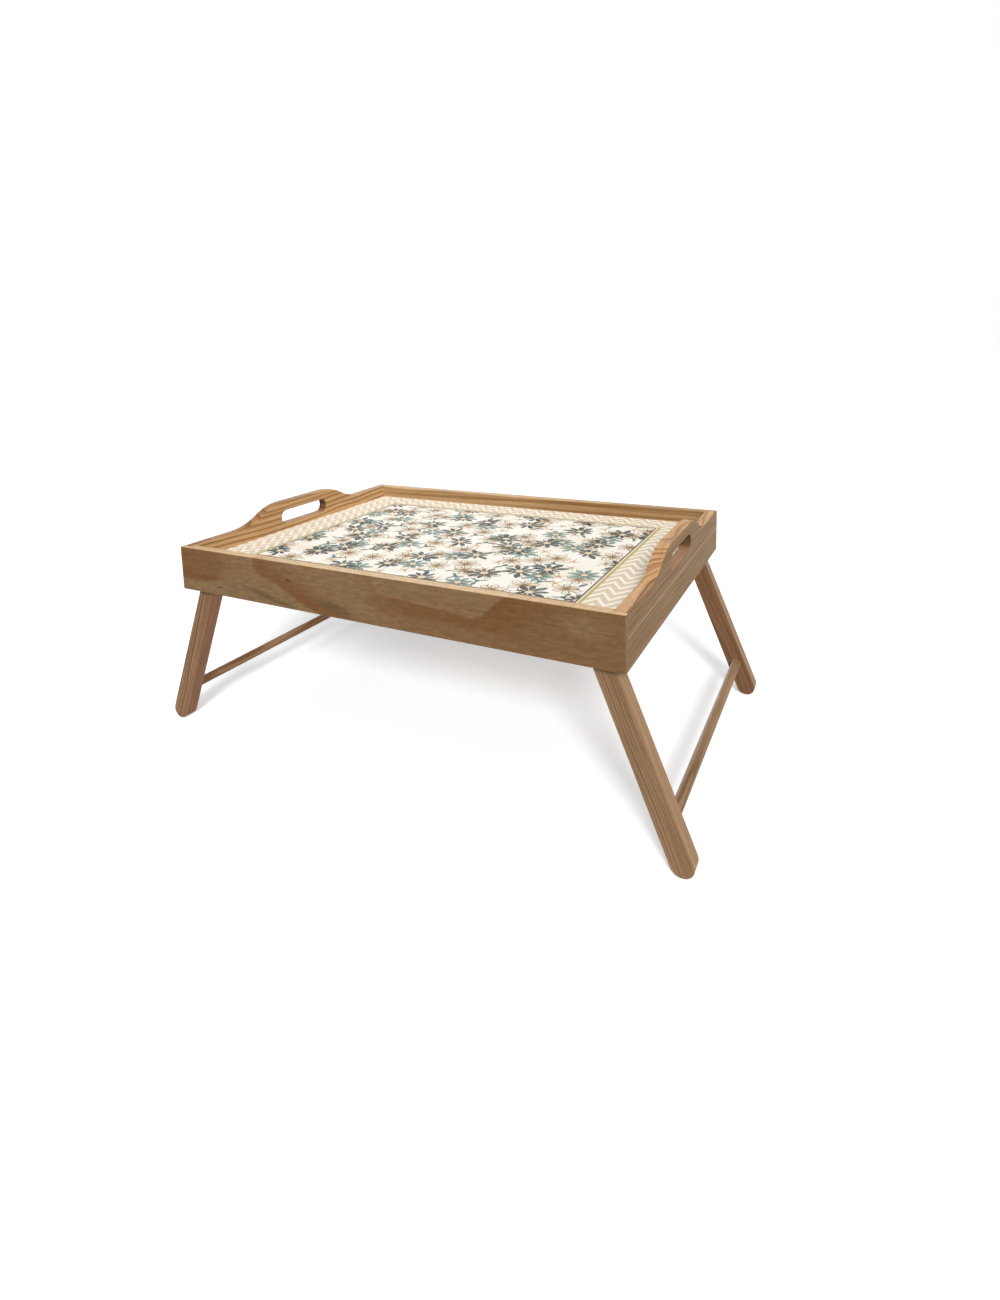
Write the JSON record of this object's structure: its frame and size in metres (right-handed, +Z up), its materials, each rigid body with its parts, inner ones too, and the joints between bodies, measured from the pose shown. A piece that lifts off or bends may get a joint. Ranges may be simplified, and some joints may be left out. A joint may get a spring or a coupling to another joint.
{
  "type": "breakfast tray",
  "caption": "Rectangular pine breakfast tray with raised end handles, hand slots, a printed bottom and splayed legs that fold flat underneath.",
  "frame": {"origin": "on the floor, midway between the four feet", "axes": "+X along the tray's length to the right handle, -Y to the front rail, +Z up"},
  "size_m": [0.6018, 0.38, 0.2365],
  "materials": {
    "pine_side_rail": "clear oiled flat-sawn pine",
    "pine_end_rail": "clear oiled pine with bold straight grain",
    "pine_leg": "sanded pine with fine straight grain",
    "pine_dowel": "sanded pine dowel",
    "panel_board": "plain thin board",
    "printed_sheet": "satin printed film with a chevron border",
    "zinc_steel": "bright zinc plate"
  },
  "bodies": {
    "tray": {"front_rail": "pine_side_rail", "back_rail": "pine_side_rail", "left_end_rail": "pine_end_rail", "right_end_rail": "pine_end_rail", "tray_panel": "panel_board", "printed_sheet": "printed_sheet", "left_front_pivot_screw": "zinc_steel", "left_front_spacer_washer": "zinc_steel", "left_front_head_washer": "zinc_steel", "left_back_pivot_screw": "zinc_steel", "left_back_spacer_washer": "zinc_steel", "left_back_head_washer": "zinc_steel", "right_front_pivot_screw": "zinc_steel", "right_front_spacer_washer": "zinc_steel", "right_front_head_washer": "zinc_steel", "right_back_pivot_screw": "zinc_steel", "right_back_spacer_washer": "zinc_steel", "right_back_head_washer": "zinc_steel"},
    "left_leg_frame": {"left_front_leg": "pine_leg", "left_back_leg": "pine_leg", "left_stretcher": "pine_dowel"},
    "right_leg_frame": {"right_front_leg": "pine_leg", "right_back_leg": "pine_leg", "right_stretcher": "pine_dowel"}
  },
  "joints": [
    {"name": "left_leg_fold", "type": "hinge", "parent": "tray", "child": "left_leg_frame", "pos_m": [-0.22123, 0, 0.18246], "axis": [0, -1, 0], "range_deg": [0, 112]},
    {"name": "right_leg_fold", "type": "hinge", "parent": "tray", "child": "right_leg_frame", "pos_m": [0.22123, 0, 0.18246], "axis": [0, 1, 0], "range_deg": [0, 112]}
  ]
}
